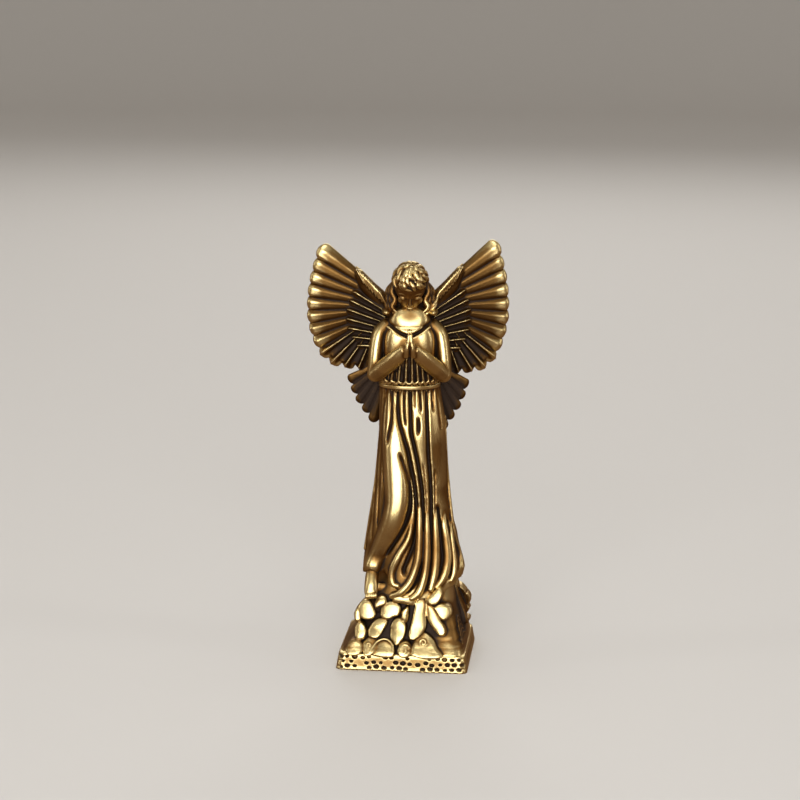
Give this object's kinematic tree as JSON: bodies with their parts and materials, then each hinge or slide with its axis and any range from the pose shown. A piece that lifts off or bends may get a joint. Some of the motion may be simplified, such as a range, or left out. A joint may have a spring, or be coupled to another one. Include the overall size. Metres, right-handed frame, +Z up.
{
  "type": "brass angel statue",
  "caption": "Small cast brass angel praying with spread wings, standing on a cloud mound over a rectangular plinth.",
  "frame": {"origin": "centre of the plinth's underside", "axes": "+Z up, +X to the viewer's right, the plinth's front and the praying hands face -Y"},
  "size_m": [0.0286, 0.0177, 0.0603],
  "materials": {
    "brass": "antique brass, bright on the high parts and dark brown in the hollows"
  },
  "bodies": {
    "root": {"angel_statue": "brass"}
  },
  "joints": []
}
